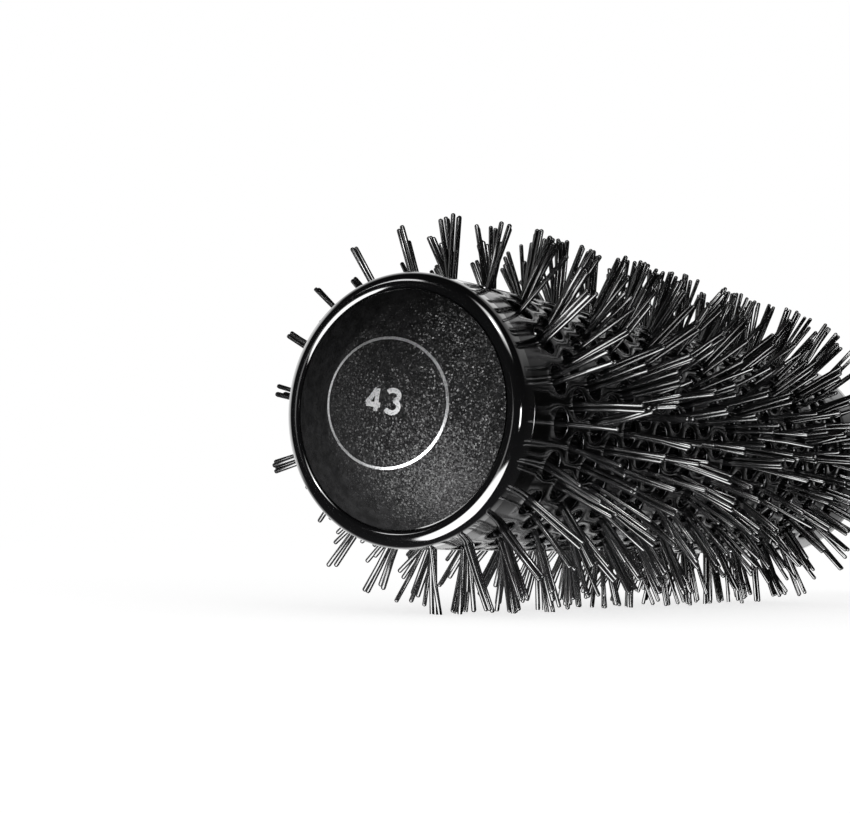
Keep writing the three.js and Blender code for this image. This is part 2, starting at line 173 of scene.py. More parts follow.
# Camera, from a fit to the rim, the face border, the holes and the tips, in pixels and mm
IMAGE_WIDTH = 850
FOCAL_PIXELS = 1952.4
VIEW_AZIMUTH = math.radians(30.95)
VIEW_ELEVATION = math.radians(-4.63)
VIEW_TURN = math.radians(1.3)
TIP_RIGHT = -4.0
TIP_DOWN = 0.42
TIP_DISTANCE = 300.0


def turned(vector):
    """A direction turned about the brush's axis, from X towards Z."""
    c, s = math.cos(VIEW_TURN), math.sin(VIEW_TURN)
    return Vector((vector[0] * c - vector[2] * s, vector[1], vector[0] * s + vector[2] * c))


def make_camera():
    a, e = VIEW_AZIMUTH, VIEW_ELEVATION
    forward = turned((-math.sin(a) * math.cos(e), math.cos(a) * math.cos(e), -math.sin(e)))
    right = turned((math.cos(a), math.sin(a), 0))
    up = right.cross(forward)
    tip = Vector((0, RIM_FRONT, 0))
    eye = tip - right * TIP_RIGHT * MM + up * TIP_DOWN * MM - forward * TIP_DISTANCE * MM
    data = bpy.data.cameras.new("camera")
    data.sensor_width = 36
    data.lens = FOCAL_PIXELS / IMAGE_WIDTH * data.sensor_width
    data.clip_start = 0.01
    camera = bpy.data.objects.new("camera", data)
    bpy.context.scene.collection.objects.link(camera)
    axes = Matrix((right, up, -forward)).transposed().to_4x4()
    camera.matrix_world = Matrix.Translation(eye) @ axes
    bpy.context.scene.camera = camera
    return right, up, forward


# Materials


def new_material(name, color, metallic, roughness):
    """A material of even color. Textures may vary its values, and these stay for plain readers."""
    material = bpy.data.materials.new(name)
    material.use_nodes = True
    shader = material.node_tree.nodes["Principled BSDF"]
    shader.inputs["Base Color"].default_value = (*color, 1)
    shader.inputs["Metallic"].default_value = metallic
    shader.inputs["Roughness"].default_value = roughness
    return material, material.node_tree, shader


def add_node(tree, kind, **values):
    node = tree.nodes.new(kind)
    for key, value in values.items():
        if key in node.inputs:
            node.inputs[key].default_value = value
        else:
            setattr(node, key, value)
    return node


def noise(tree, scale, detail, roughness=0.5):
    """Noise in object space. The scale is in features for each metre."""
    where = add_node(tree, "ShaderNodeTexCoord")
    texture = add_node(tree, "ShaderNodeTexNoise", Scale=scale, Detail=detail, Roughness=roughness)
    tree.links.new(where.outputs["Object"], texture.inputs["Vector"])
    return texture.outputs["Fac"]


def remap(tree, value, low, high, to_low, to_high):
    node = add_node(tree, "ShaderNodeMapRange")
    node.inputs["From Min"].default_value = low
    node.inputs["From Max"].default_value = high
    node.inputs["To Min"].default_value = to_low
    node.inputs["To Max"].default_value = to_high
    tree.links.new(value, node.inputs["Value"])
    return node.outputs["Result"]


def math_node(tree, operation, *values):
    node = add_node(tree, "ShaderNodeMath", operation=operation)
    for socket, value in zip(node.inputs, values):
        if isinstance(value, (int, float)):
            socket.default_value = value
        else:
            tree.links.new(value, socket)
    return node.outputs[0]


def blend_colors(tree, factor, first, second):
    node = add_node(tree, "ShaderNodeMix", data_type="RGBA")
    node.inputs[6].default_value = (*first, 1)
    node.inputs[7].default_value = (*second, 1)
    tree.links.new(factor, node.inputs["Factor"])
    return node.outputs[2]


def vector_math(tree, operation, *values):
    node = add_node(tree, "ShaderNodeVectorMath", operation=operation)
    for socket, value in zip(node.inputs, values):
        if isinstance(value, tuple):
            socket.default_value = value
        else:
            tree.links.new(value, socket)
    return node.outputs["Vector"]


def scaled(color, factor):
    return tuple(factor * c for c in color)


def vary_color(tree, shader, factor, first, second):
    tree.links.new(blend_colors(tree, factor, first, second), shader.inputs["Base Color"])


def bump(tree, shader, height, strength, distance):
    node = add_node(tree, "ShaderNodeBump", Strength=strength, Distance=distance)
    tree.links.new(height, node.inputs["Height"])
    tree.links.new(node.outputs["Normal"], shader.inputs["Normal"])


def grained_plastic(name, color, roughness, grain_mm, strength):
    """Moulded plastic with a pebbled grain of the given size."""
    material, tree, shader = new_material(name, color, 0, roughness)
    grain = grain_mm * MM
    where = add_node(tree, "ShaderNodeTexCoord")
    cells = add_node(tree, "ShaderNodeTexVoronoi", feature="SMOOTH_F1", Scale=1 / grain, Smoothness=0.6)
    tree.links.new(where.outputs["Object"], cells.inputs["Vector"])
    fine = noise(tree, 2.5 / grain, 3.0, 0.6)
    slow = noise(tree, 0.1 / grain, 2.0)
    rough = remap(tree, fine, 0.35, 0.65, roughness - 0.1, roughness + 0.12)
    tree.links.new(rough, shader.inputs["Roughness"])
    slow_part = math_node(tree, "MULTIPLY", slow, 0.6)
    fine_part = math_node(tree, "MULTIPLY", fine, 0.4)
    shade = remap(tree, math_node(tree, "ADD", slow_part, fine_part), 0.35, 0.65, 0, 1)
    vary_color(tree, shader, shade, scaled(color, 0.6), scaled(color, 1.7))
    pebbles = math_node(tree, "MULTIPLY", cells.outputs["Distance"], -1.0)
    bump(tree, shader, math_node(tree, "ADD", pebbles, fine), strength, grain * 0.35)
    return material


def sparkling_grain(name, color, roughness, grain_mm, tilt):
    """Moulded plastic with a fine grain whose grains are small mirrors, each tilted by chance."""
    material, tree, shader = new_material(name, color, 0, roughness)
    where = add_node(tree, "ShaderNodeTexCoord")
    cells = add_node(tree, "ShaderNodeTexVoronoi", feature="F1", Scale=1 / (grain_mm * MM))
    tree.links.new(where.outputs["Object"], cells.inputs["Vector"])
    chance = vector_math(tree, "SUBTRACT", cells.outputs["Color"], (0.5, 0.5, 0.5))
    lean = vector_math(tree, "MULTIPLY", chance, (tilt, tilt, tilt))
    normal = add_node(tree, "ShaderNodeNewGeometry").outputs["Normal"]
    tilted = vector_math(tree, "NORMALIZE", vector_math(tree, "ADD", normal, lean))
    tree.links.new(tilted, shader.inputs["Normal"])
    parts = add_node(tree, "ShaderNodeSeparateColor")
    tree.links.new(cells.outputs["Color"], parts.inputs["Color"])
    # The grains lose their shine where the face turns away from the viewer.
    shine = remap(tree, math_node(tree, "POWER", parts.outputs["Green"], 2.0), 0, 1, 0.05, 0.3)
    facing = add_node(tree, "ShaderNodeLayerWeight", Blend=0.5).outputs["Facing"]
    shine = math_node(tree, "MULTIPLY", shine, remap(tree, facing, 0.13, 0.38, 1, 0))
    shader.inputs["Specular IOR Level"].default_value = 0.12
    tree.links.new(shine, shader.inputs["Specular IOR Level"])
    slow = noise(tree, 0.12 / (grain_mm * MM), 2.0)
    shade = remap(tree, slow, 0.35, 0.65, 0, 1)
    vary_color(tree, shader, shade, scaled(color, 0.75), scaled(color, 1.3))
    return material


def gloss_plastic(name, color, roughness):
    """Polished moulding: nearly smooth, with a faint slow waviness and fine handling marks."""
    material, tree, shader = new_material(name, color, 0, roughness)
    marks = noise(tree, 5200, 4.0, 0.7)
    rough = remap(tree, marks, 0.3, 0.8, roughness * 0.7, roughness * 1.6)
    tree.links.new(rough, shader.inputs["Roughness"])
    shader.inputs["Coat Weight"].default_value = 1.0
    shader.inputs["Coat Roughness"].default_value = 0.05
    bump(tree, shader, noise(tree, 260, 1.0), 0.05, 0.0002)
    return material


def barrel_coating():
    """Dark metallic coating that mirrors its surroundings at about a tenth of their brightness."""
    material, tree, shader = new_material("barrel_coating", (0.08, 0.08, 0.082), 1.0, 0.12)
    smear = noise(tree, 420, 3.0, 0.6)
    tree.links.new(remap(tree, smear, 0.3, 0.75, 0.08, 0.18), shader.inputs["Roughness"])
    vary_color(tree, shader, smear, (0.07, 0.07, 0.071), (0.11, 0.11, 0.112))
    shader.inputs["Specular Tint"].default_value = (0.85, 0.85, 0.85, 1)
    bump(tree, shader, smear, 0.04, 0.0002)
    return material


def worn_metal(name, color, smooth, rough, marks_scale):
    """Metal whose roughness varies between two values in fine marks."""
    material, tree, shader = new_material(name, color, 1.0, rough)
    marks = noise(tree, marks_scale, 3.0)
    tree.links.new(remap(tree, marks, 0.3, 0.7, smooth, rough), shader.inputs["Roughness"])
    vary_color(tree, shader, marks, scaled(color, 0.75), color)
    return material


def nylon():
    """Black filament with a clear streak of gloss along its middle and dull, dark edges."""
    material, tree, shader = new_material("nylon", (0.01, 0.01, 0.0105), 0, 0.16)
    facing = add_node(tree, "ShaderNodeLayerWeight", Blend=0.5).outputs["Facing"]
    shader.inputs["Specular IOR Level"].default_value = 0.4
    tree.links.new(remap(tree, facing, 0.2, 0.6, 0.75, 0), shader.inputs["Specular IOR Level"])
    tree.links.new(remap(tree, facing, 0.2, 0.5, 0.4, 0), shader.inputs["Coat Weight"])
    shader.inputs["Coat Roughness"].default_value = 0.09
    streak = noise(tree, 900, 2.0)
    tree.links.new(remap(tree, streak, 0.3, 0.7, 0.16, 0.22), shader.inputs["Roughness"])
    vary_color(tree, shader, streak, (0.002, 0.002, 0.0021), (0.006, 0.006, 0.0062))
    return material


def printed_ink():
    """Silver print that shines where the cap's face does, worn through in small specks."""
    material, tree, shader = new_material("printed_ink", (0.3, 0.3, 0.305), 0.9, 0.3)
    wear = noise(tree, 4600, 3.0, 0.7)
    worn = remap(tree, wear, 0.50, 0.64, 0, 1)
    vary_color(tree, shader, worn, (0.38, 0.38, 0.385), (0.1, 0.1, 0.102))
    return material


# Mesh helpers


def make_piece(name, points, faces, materials, sharp=32, face_slots=None):
    mesh = bpy.data.meshes.new(name)
    mesh.from_pydata(points, [], faces)
    for material in materials:
        mesh.materials.append(material)
    if face_slots:
        mesh.polygons.foreach_set("material_index", face_slots)
    mesh.polygons.foreach_set("use_smooth", [True] * len(mesh.polygons))
    mesh.update()
    mesh.set_sharp_from_angle(angle=math.radians(sharp))
    piece = bpy.data.objects.new(name, mesh)
    bpy.context.scene.collection.objects.link(piece)
    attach(piece, "root")
    return piece


def spread(start, end, steps):
    """Evenly spaced values from start to end."""
    return [start + (end - start) * i / steps for i in range(steps + 1)]


def arc(centre_radius, centre_station, radius, start, end, steps):
    """Points of a profile on an arc. Angles are from +radius towards -station, in degrees."""
    points = []
    for i in range(steps + 1):
        a = math.radians(start + (end - start) * i / steps)
        points.append((centre_radius + radius * math.cos(a), centre_station - radius * math.sin(a)))
    return points


def revolve(name, outline, materials, segments, sharp=32, slot_of=None):
    """A closed body of revolution. The outline runs from axis to axis or is a closed ring."""
    on_axis = outline[0][0] == 0
    points, rings = [], []
    for radius, station in outline:
        if radius == 0:
            rings.append([len(points)] * segments)
            points.append(place(0, 0, station))
        else:
            rings.append(list(range(len(points), len(points) + segments)))
            points += [place(radius, TURN * i / segments, station) for i in range(segments)]
    pairs = list(zip(rings, rings[1:]))
    if not on_axis:
        pairs.append((rings[-1], rings[0]))
    faces, slots = [], []
    for band, (first, second) in enumerate(pairs):
        for i in range(segments):
            j = (i + 1) % segments
            corners = [first[i], first[j], second[j], second[i]]
            corners = [c for n, c in enumerate(corners) if c != corners[n - 1]]
            faces.append(corners)
            slots.append(slot_of(band) if slot_of else 0)
    return make_piece(name, points, faces, materials, sharp, slots)


# Tip cap


def dome_station(radius):
    """The face is nearly flat in the middle and falls off more and more towards its border."""
    return FACE_RECESS - DOME_HEIGHT * (1 - (radius / FACE_BORDER) ** DOME_POWER)


def lip():
    """The inner half of the rim, from the groove to the apex: a tight edge, then nearly flat."""
    slope = math.radians(LIP_SLOPE)
    centre = RIM_APEX - LIP_WIDTH + LIP_EDGE_RADIUS * math.sin(slope)
    depth = LIP_WIDTH * math.tan(slope) + LIP_EDGE_RADIUS * math.cos(slope)
    edge = arc(centre, depth, LIP_EDGE_RADIUS, 90 + LIP_EDGE_TILT, 90 + LIP_SLOPE, 16)
    return edge + [(RIM_APEX, 0)]


def flank(nose_radius, nose_station, seam):
    """The curve from the rim's nose to the seam. It leaves along the nose and ends along the axis."""
    step_out, run = BARREL_RADIUS - nose_radius, seam - nose_station
    power = run * math.tan(math.radians(90 - NOSE_END)) / step_out
    shares = spread(0, 1, 24)[1:]
    return [
        (BARREL_RADIUS - step_out * (1 - share) ** power, nose_station + run * share)
        for share in shares
    ]


def make_cap(face, gloss):
    face_steps = 48
    outline = [(radius, dome_station(radius)) for radius in spread(0, FACE_BORDER, face_steps)]
    groove_floor = FACE_RECESS + GROOVE_DEPTH
    inner_half = lip()
    outline += [(FACE_BORDER, groove_floor), (inner_half[0][0], groove_floor)]
    outline += inner_half + arc(RIM_APEX, RIM_RADIUS, RIM_RADIUS, 90, 90 - NOSE_END, 20)[1:]
    nose_radius, nose_station = outline[-1]
    seam = CAP_FLANGE + SEAT_GAP - SEAM
    outline += flank(nose_radius, nose_station, seam)
    spigot = BARREL_RADIUS - BARREL_WALL - SEAT_GAP
    outline += [(BARREL_RADIUS - SEAM, seam), (spigot, seam)]
    outline += [(spigot, SKIRT_END), (spigot - SKIRT_WALL, SKIRT_END)]
    outline += [(spigot - SKIRT_WALL, FACE_RECESS + CAP_WALL)]
    socket = STEM_BORE + SOCKET_WALL
    outline += [(socket, dome_station(socket) + CAP_WALL), (socket, SKIRT_END)]
    outline += [(STEM_BORE, SKIRT_END), (STEM_BORE, SOCKET_FLOOR), (0, SOCKET_FLOOR)]

    def slot_of(band):
        return 0 if band < face_steps else 1

    cap = revolve("cap_moulding", outline, [face, gloss], segments=192, sharp=30, slot_of=slot_of)
    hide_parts("tip_cap")
    return cap


# The print on the cap: a ring and the size number, laid on the dome

INK_THICKNESS = 0.02
PRINT_TURN = math.radians(7.6)
RING_RADIUS = 9.95
RING_STRETCH = 1.07
RING_LINE = 0.42
RING_STEPS = 180
PRINT_ACROSS = 0.2
PRINT_UP = 0.7
DIGITS_ABOVE = 0.35
DIGIT_HEIGHT = 3.5
DIGIT_WIDTH = 2.6
DIGIT_GAP = 0.75
DIGIT_LINE = 0.76


def on_face(across, up, lift):
    """A point on the cap's face, given as seen from the front with the camera's side positive."""
    radius = math.hypot(across, up)
    angle = math.atan2(up, across) - PRINT_TURN
    return place(radius, angle, dome_station(radius) - lift)


def stroke(path, width, closed=False):
    """Left and right points of a line of even width along a path on the print's plane."""
    count = len(path)
    sides = []
    for i, point in enumerate(path):
        before = path[i - 1] if closed or i > 0 else point
        after = path[(i + 1) % count] if closed or i < count - 1 else point
        along = Vector((after[0] - before[0], after[1] - before[1])).normalized()
        across = Vector((-along.y, along.x)) * width / 2
        sides.append((Vector(point) + across, Vector(point) - across))
    return sides


def ink_line(points, faces, path, width, closed=False):
    """Adds a thin closed strip of ink that follows a path on the dome."""
    sides = stroke(path, width, closed)
    start = len(points)
    for left, right in sides:
        for lift in (INK_THICKNESS, -INK_THICKNESS):
            points.append(on_face(left.x, left.y, lift))
            points.append(on_face(right.x, right.y, lift))
    count = len(sides)
    for i in range(count if closed else count - 1):
        a = start + 4 * i
        b = start + 4 * ((i + 1) % count)
        faces += [(a, a + 1, b + 1, b), (a + 2, b + 2, b + 3, a + 3)]
        faces += [(a, b, b + 2, a + 2), (a + 1, a + 3, b + 3, b + 1)]
    if not closed:
        last = start + 4 * (count - 1)
        faces += [(start, start + 2, start + 3, start + 1), (last, last + 1, last + 3, last + 2)]


def digit_three():
    upper = [(0.5 + 0.42 * math.cos(a), 0.76 + 0.22 * math.sin(a)) for a in spread(2.6, -1.35, 14)]
    lower = [(0.5 + 0.46 * math.cos(a), 0.28 + 0.27 * math.sin(a)) for a in spread(1.35, -2.6, 16)]
    return [upper + lower]


def digit_four():
    upright = [(0.72, 0.0), (0.72, 0.5), (0.72, 0.98)]
    slope = [(0.66, 0.98), (0.36, 0.62), (0.04, 0.3)]
    bar = [(0.02, 0.27), (0.5, 0.27), (1.0, 0.27)]
    return [upright, slope, bar]


def make_print(ink):
    points, faces = [], []
    ring = []
    for i in range(RING_STEPS):
        a = TURN * i / RING_STEPS
        across = PRINT_ACROSS + RING_RADIUS * RING_STRETCH * math.cos(a)
        ring.append((across, PRINT_UP + RING_RADIUS * math.sin(a)))
    ink_line(points, faces, ring, RING_LINE, closed=True)
    middle = PRINT_UP + DIGITS_ABOVE
    digits = ((digit_four(), -DIGIT_WIDTH - DIGIT_GAP / 2), (digit_three(), DIGIT_GAP / 2))
    for digit, offset in digits:
        left = PRINT_ACROSS + offset
        for path in digit:
            laid = [(left + x * DIGIT_WIDTH, middle + (y - 0.5) * DIGIT_HEIGHT) for x, y in path]
            ink_line(points, faces, laid, DIGIT_LINE)
    piece = make_piece("cap_print", points, faces, [ink])
    return piece


# Barrel


def hole_angle(ring, column):
    return FIRST_HOLE_ANGLE + (column + ring / 2) * TURN / HOLES_PER_RING


def ring_station(ring):
    return FIRST_RING + ring * RING_PITCH


def cell_outline(ring):
    """The border of the field round one hole, as (arc length, station) from the hole's centre.

    Neighbouring fields share it. The first and last rings end on a straight line instead."""
    half = TURN * BARREL_RADIUS / HOLES_PER_RING / 2
    tall = (half**2 + RING_PITCH**2) / (2 * RING_PITCH)
    low = RING_PITCH - tall
    front = [(-half, -low), (0, -tall), (half, -low)]
    rear = [(half, low), (0, tall), (-half, low)]
    if ring == 0:
        front = [(x, -BAND_BESIDE_HOLES) for x, _ in front]
    if ring == RING_COUNT - 1:
        rear = [(x, BAND_BESIDE_HOLES) for x, _ in rear]
    corners = front + rear
    border = []
    for i, (x, y) in enumerate(corners):
        next_x, next_y = corners[(i + 1) % len(corners)]
        for step in range(SIDE_STEPS):
            border.append((x + (next_x - x) * step / SIDE_STEPS, y + (next_y - y) * step / SIDE_STEPS))
    return border


def make_barrel(coating, edge_metal):
    """A tube with a round hole in each field. Both skins and the holes' walls are one surface."""
    points, faces, slots = [], [], []
    shared = {}
    outer, inner = BARREL_RADIUS, BARREL_RADIUS - BARREL_WALL

    def border_point(radius, angle, station):
        key = (radius, round((angle % TURN) * 1e5) % round(TURN * 1e5), round(station * 1e3))
        if key not in shared:
            shared[key] = len(points)
            points.append(place(radius, angle, station))
        return shared[key]

    def bridge(first, second, slot):
        count = len(first)
        for i in range(count):
            j = (i + 1) % count
            faces.append((first[i], first[j], second[j], second[i]))
            slots.append(slot)

    def circle(border, centre, station, hole_radius, skin):
        """A round loop in a hole, with a point for each point of the field's border."""
        loop = []
        for x, y in border:
            size = hole_radius / math.hypot(x, y)
            angle = centre + math.asin(x * size / skin)
            loop.append(len(points))
            points.append(place(skin, angle, station + y * size))
        return loop

    def edge_loop(ring, sign, radius, station):
        """A loop round the barrel, in step with the straight border of an outer ring."""
        loop = []
        for column in range(HOLES_PER_RING):
            for step in range(2 * SIDE_STEPS):
                share = (step / (2 * SIDE_STEPS) - 0.5) * sign
                angle = hole_angle(ring, column * sign) + share * TURN / HOLES_PER_RING
                loop.append(border_point(radius, angle, station))
        return loop

    bend = HOLE_EDGE_BEND * HOLE_EDGE
    for ring in range(RING_COUNT):
        border, station = cell_outline(ring), ring_station(ring)
        for column in range(HOLES_PER_RING):
            centre = hole_angle(ring, column)
            field = [border_point(outer, centre + x / outer, station + y) for x, y in border]
            lining = [border_point(inner, centre + x / outer, station + y) for x, y in border]
            loops = [
                (field, 0),
                (circle(border, centre, station, HOLE_RADIUS + HOLE_EDGE, outer), 1),
                (circle(border, centre, station, HOLE_RADIUS + bend, outer - bend), 1),
                (circle(border, centre, station, HOLE_RADIUS, outer - HOLE_EDGE), 0),
                (circle(border, centre, station, HOLE_RADIUS, inner), 0),
                (lining, 0),
            ]
            for (first, slot), (second, _) in zip(loops, loops[1:]):
                bridge(first, second, slot)

    front_end, rear_end = station_of(barrel_lo[1]), station_of(barrel_hi[1])
    for ring, sign, end in ((0, -1, front_end), (RING_COUNT - 1, 1, rear_end)):
        near = ring_station(ring) + sign * BAND_BESIDE_HOLES
        loops = [
            edge_loop(ring, sign, outer, near),
            edge_loop(ring, sign, outer, end - sign * BARREL_CHAMFER),
            edge_loop(ring, sign, outer - BARREL_CHAMFER, end),
            edge_loop(ring, sign, inner, end),
            edge_loop(ring, sign, inner, near),
        ]
        for first, second in zip(loops, loops[1:]):
            bridge(first, second, 0)
    barrel = make_piece("barrel_skin", points, faces, [coating, edge_metal], 28, slots)
    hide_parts("barrel_tube")
    return barrel


# Bristles


def add_filament(points, faces, path, radius):
    """A round filament along a path of points, with a domed end."""
    rings, sides = [], STRAND_SIDES
    along = (path[-1] - path[-2]).normalized()
    profile = [(p, 1.0) for p in path[:-1]]
    profile += [(path[-1] - along * radius * 0.9, 1.0), (path[-1] - along * radius * 0.35, 0.8)]
    side = along.orthogonal().normalized()
    other = along.cross(side)
    for centre, size in profile:
        rings.append(range(len(points), len(points) + sides))
        for i in range(sides):
            a = TURN * i / sides
            points.append(centre + (side * math.cos(a) + other * math.sin(a)) * radius * size)
    for first, second in zip(rings, rings[1:]):
        for i in range(sides):
            j = (i + 1) % sides
            faces.append((first[i], first[j], second[j], second[i]))
    tip = len(points)
    points.append(path[-1])
    last = rings[-1]
    faces += [(last[i], last[(i + 1) % sides], tip) for i in range(sides)]
    faces.append(tuple(reversed(rings[0])))


def bundle(rng, count):
    """Places of the filaments in one tuft, in filament widths, as they crowd in the hole."""
    step = STRAND_SPACING
    row = ROW_SPACING * step
    spots = [(0, 0), (step, 0), (0.5 * step, row), (1.5 * step, row), (-0.5 * step, row)][:count]
    middle = (sum(x for x, _ in spots) / count, sum(y for _, y in spots) / count)
    turn = rng.uniform(0, TURN)
    c, s = math.cos(turn), math.sin(turn)
    spots = [(x - middle[0], y - middle[1]) for x, y in spots]
    return [(x * c - y * s, x * s + y * c) for x, y in spots]


def add_tuft(points, faces, ring, column, rng):
    """The filaments of one hole, from the core out through the hole to uneven tips."""
    angle, station = hole_angle(ring, column), ring_station(ring)
    width = 2 * STRAND_RADIUS
    reach = FREE_REACH * max(0, math.sin(angle))
    rearward = REARWARD_STEP * max(0, ring - (RING_COUNT - 1 - REARWARD_RINGS))
    count = rng.choices(TUFT_COUNTS, TUFT_SHARES)[0]
    lean = (rng.gauss(0, TUFT_LEAN), rng.gauss(0, TUFT_LEAN) + rearward)
    shortfall = rng.uniform(0, TUFT_SHORTFALL)
    fan = rng.uniform(0, TUFT_FAN)
    for x, y in bundle(rng, count):
        splay = STRAY_LEAN if rng.random() < STRAY_SHARE else STRAND_LEAN
        own = (rng.gauss(0, splay), rng.gauss(0, splay))
        short = shortfall + abs(rng.gauss(0, STRAND_SHORTFALL))
        if rng.random() < STRAY_SHARE:
            short += rng.uniform(*STRAY_SHORTFALL)
        tip_radius = TIP_RADIUS - min(short, LARGEST_SHORTFALL) + reach
        halfway = (BARREL_RADIUS + tip_radius) / 2
        radii = (CORE_RADIUS - ROOT_DEPTH, BARREL_RADIUS - INSIDE_BARREL, halfway, tip_radius)
        path = []
        for radius, (fanned, leaning) in zip(radii, TUFT_COURSE):
            across = width * x * (1 + fanned * fan) + leaning * (lean[0] + own[0])
            along = width * y * (1 + fanned * fan) + leaning * (lean[1] + own[1])
            path.append(place(radius, angle + across / radius, station + along))
        add_filament(points, faces, path, STRAND_RADIUS * MM * rng.uniform(*STRAND_THICKNESSES))


def make_bristles(name, node, first_ring, ring_count, material, rng):
    points, faces = [], []
    for ring in range(first_ring, first_ring + ring_count):
        for column in range(HOLES_PER_RING):
            add_tuft(points, faces, ring, column, rng)
    piece = make_piece(name, points, faces, [material], 60)
    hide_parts(node)
    return piece


# Stem, pins, collar and handle


def make_wire(name, node, start_angle, metal):
    """One wire of the stem, wound round the brush's axis."""
    low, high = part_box(node)
    front, rear = station_of(low[1]), station_of(high[1])
    turns = (rear - front) / WIRE_PITCH
    sides, steps = 16, 260
    points, faces, rings = [], [], []
    for i in range(steps + 1):
        angle = start_angle + TURN * turns * i / steps
        station = front + (rear - front) * i / steps
        outwards = Vector((math.cos(angle), 0, math.sin(angle)))
        around = Vector((-math.sin(angle), 0, math.cos(angle)))
        along = (Vector((0, WIRE_PITCH, 0)) + around * TURN * WIRE_ORBIT).normalized()
        across = along.cross(outwards)
        middle = place(0, 0, station) + outwards * WIRE_ORBIT * MM
        rings.append(range(len(points), len(points) + sides))
        for side in range(sides):
            a = TURN * side / sides
            points.append(middle + (outwards * math.cos(a) + across * math.sin(a)) * WIRE_RADIUS * MM)
    for first, second in zip(rings, rings[1:]):
        for i in range(sides):
            j = (i + 1) % sides
            faces.append((first[i], first[j], second[j], second[i]))
    faces += [tuple(reversed(rings[0])), tuple(rings[-1])]
    piece = make_piece(name, points, faces, [metal], 50)
    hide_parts(node)
    return piece


def make_pin(name, node, metal):
    """A round pin whose head stands out of the barrel by next to nothing."""
    low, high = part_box(node)
    middle = (Vector(low) + Vector(high)) / 2
    outwards = Vector((middle.x, 0, middle.z)).normalized()
    across = Vector((0, 1, 0)).cross(outwards)
    head, foot, segments = BARREL_RADIUS + PIN_PROUD, BARREL_RADIUS - PIN_LENGTH, 40
    outline = [(PIN_RADIUS, foot), (PIN_RADIUS, head - PIN_EDGE), (PIN_RADIUS - PIN_EDGE, head)]
    origin = Vector((0, middle.y, 0))
    points, faces = [], []
    for radius, height in outline:
        for i in range(segments):
            a = TURN * i / segments
            spoke = (across * math.cos(a) + Vector((0, 1, 0)) * math.sin(a)) * radius
            points.append(origin + (spoke + outwards * height) * MM)
    for band in range(len(outline) - 1):
        for i in range(segments):
            j = (i + 1) % segments
            a, b = band * segments, (band + 1) * segments
            faces.append((a + i, a + j, b + j, b + i))
    faces += [tuple(reversed(range(segments))), tuple(range(len(points) - segments, len(points)))]
    piece = make_piece(name, points, faces, [metal], 40)
    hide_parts(node)
    return piece


def round_corners(outline, fillets, steps=6):
    """The outline with an arc of the given radius at each corner that has one, by its index."""
    points = []
    for i, corner in enumerate(outline):
        if i not in fillets:
            points.append(corner)
            continue
        here = Vector(corner)
        before = (Vector(outline[i - 1]) - here).normalized()
        after = (Vector(outline[(i + 1) % len(outline)]) - here).normalized()
        half = before.angle(after) / 2
        middle = here + (before + after).normalized() * fillets[i] / math.sin(half)
        first = here + before * fillets[i] / math.tan(half) - middle
        last = here + after * fillets[i] / math.tan(half) - middle
        for t in spread(0, 1, steps):
            points.append(tuple(middle + (first * (1 - t) + last * t).normalized() * fillets[i]))
    return points


def span(node):
    """Front and rear stations of a CAD node."""
    low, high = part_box(node)
    return station_of(low[1]), station_of(high[1])


def wave(start, end, share):
    """From start to end along half a cosine wave."""
    return start + (end - start) * (1 - math.cos(math.pi * share)) / 2


def collar_outline():
    front, rear = span("rear_collar")
    outline = [
        (COLLAR_BORE, front),
        (BARREL_RADIUS, front),
        (BARREL_RADIUS, rear - COLLAR_CHAMFER),
        (BARREL_RADIUS - COLLAR_CHAMFER, rear),
        (COLLAR_BORE, rear),
    ]
    return round_corners(outline, {1: 0.15, 2: 0.3, 3: 0.2})


def core_outline():
    """A shoulder that runs into a neck, with a socket for the tenon, and a hollow shaft."""
    front, rear = span("handle_core")
    shoulder = BARREL_RADIUS - COLLAR_CHAMFER
    neck_end = span("handle_grip")[0] - SEAT_GAP
    socket_end = neck_end - TENON_SETBACK
    curve = neck_end - front - 2 * SHOULDER_EDGE
    outline = [(0, socket_end), (TENON_BORE, socket_end), (TENON_BORE, front)]
    outline += [(shoulder - SHOULDER_EDGE, front)]
    for share in spread(0, 1, 40):
        outline.append((wave(shoulder, NECK_RADIUS, share), front + SHOULDER_EDGE + curve * share))
    outline += [(NECK_RADIUS - SHOULDER_EDGE, neck_end), (SHAFT_RADIUS, neck_end)]
    outline += [(SHAFT_RADIUS, rear), (SHAFT_BORE, rear)]
    outline += [(SHAFT_BORE, socket_end + TENON_FLOOR), (0, socket_end + TENON_FLOOR)]
    return outline


def grip_outline():
    front, rear = span("handle_grip")
    swell = GRIP_SWELL_SHARE * (rear - front)
    taper = rear - front - swell
    side = [(wave(GRIP_WAIST, GRIP_SWELL, t), front + swell * t) for t in spread(0, 1, 40)]
    side += [(wave(GRIP_SWELL, GRIP_END, t), front + swell + taper * t) for t in spread(0, 1, 30)[1:]]
    bore = SHAFT_RADIUS + SEAT_GAP
    outline = [(bore, front)] + side + [(bore, rear)]
    return round_corners(outline, {1: GRIP_EDGE, len(side): GRIP_EDGE})


def end_cap_outline():
    front, rear = span("handle_end_cap")
    head_front, spigot = span("handle_grip")[1] + SEAT_GAP, SHAFT_BORE - SEAT_GAP
    outline = [
        (0, front),
        (spigot, front),
        (spigot, head_front),
        (GRIP_END, head_front),
        (GRIP_END, rear - END_CAP_CHAMFER),
        (GRIP_END - END_CAP_CHAMFER, rear),
        (0, rear),
    ]
    return round_corners(outline, {1: 0.5, 3: 0.4, 4: 1.2, 5: 1.2}, 8)


